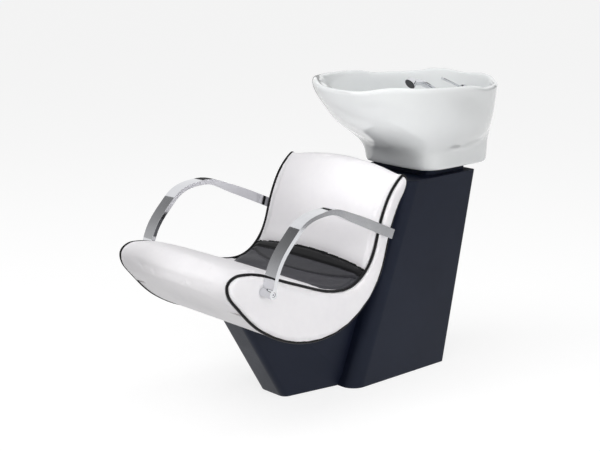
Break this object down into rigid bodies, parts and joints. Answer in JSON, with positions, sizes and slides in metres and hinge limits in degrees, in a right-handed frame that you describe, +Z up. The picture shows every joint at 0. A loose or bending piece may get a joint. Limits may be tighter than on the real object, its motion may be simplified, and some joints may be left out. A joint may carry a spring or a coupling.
{
  "type": "salon wash unit",
  "caption": "Salon wash unit: an upholstered seat with chrome arms on a moulded base, joined to a column with a tilting ceramic basin, mixer and hand shower.",
  "frame": {"origin": "centre of the four floor anchor holes, on the floor", "axes": "+Z up, -Y the way the sitter faces, +X the sitter's left"},
  "size_m": [0.616, 1.263, 0.9417],
  "materials": {
    "painted_steel": "satin",
    "zinc": "satin",
    "chrome": "polished",
    "moulded_base": "satin",
    "plywood": "matte",
    "white_upholstery": "satin",
    "charcoal_upholstery": "satin",
    "black_piping": "satin",
    "black_rubber": "matte",
    "nylon": "matte",
    "ceramic": "glossy",
    "copper": "satin",
    "dark_plastic": "matte"
  },
  "bodies": {
    "base": {"floor_plate": "painted_steel", "column_frame": "painted_steel", "seat_cradle": "painted_steel", "cradle_bolts": "zinc", "front_cover": "moulded_base", "column_cover": "moulded_base", "access_panel": "moulded_base", "access_screws": "zinc", "seat_board": "plywood", "under_skin": "white_upholstery", "seat_cushion": "white_upholstery", "crook_insert": "charcoal_upholstery", "back_cushion": "white_upholstery", "side_panel_left": "white_upholstery", "side_panel_right": "white_upholstery", "piping_left": "black_piping", "piping_right": "black_piping", "arm_left": "chrome", "arm_right": "chrome", "arm_foot_bolts": "chrome", "arm_rear_spacers": "black_rubber", "arm_rear_bolts": "zinc", "tilt_bracket": "painted_steel", "bracket_bolts": "zinc", "pivot_bushes": "nylon"},
    "basin_body": {"pivot_pins": "zinc", "basin_carrier": "painted_steel", "carrier_pads": "black_rubber", "basin": "ceramic", "drain_gasket": "black_rubber", "drain_flange": "chrome", "drain_nut": "zinc", "mixer_body": "chrome", "mixer_nut": "zinc", "inlet_tails": "copper", "shower_socket": "chrome", "socket_nut": "zinc"},
    "mixer_cap": {"mixer_cap": "chrome"},
    "mixer_lever": {"mixer_lever": "chrome"},
    "hand_shower": {"hand_shower": "chrome", "spray_plate": "dark_plastic"},
    "hair_strainer": {"hair_strainer": "chrome"}
  },
  "joints": [
    {"name": "basin_tilt", "type": "hinge", "parent": "base", "child": "basin_body", "pos_m": [0, 0.3, 0.692], "axis": [1, 0, 0], "range_deg": [-5, 6]},
    {"name": "mixer_swivel", "type": "hinge", "parent": "basin_body", "child": "mixer_cap", "pos_m": [0.05, 0.48, 0.88], "axis": [0, 0, 1], "range_deg": [-40, 40]},
    {"name": "mixer_lift", "type": "hinge", "parent": "mixer_cap", "child": "mixer_lever", "pos_m": [0.05, 0.48, 0.884], "axis": [-1, 0, 0], "range_deg": [0, 25]},
    {"name": "shower_lift", "type": "slide", "parent": "basin_body", "child": "hand_shower", "axis": [0, -0.8988, 0.4384], "range_m": [0, 0.12]},
    {"name": "strainer_lift", "type": "slide", "parent": "basin_body", "child": "hair_strainer", "axis": [0, 0, 1], "range_m": [0, 0.04]}
  ]
}
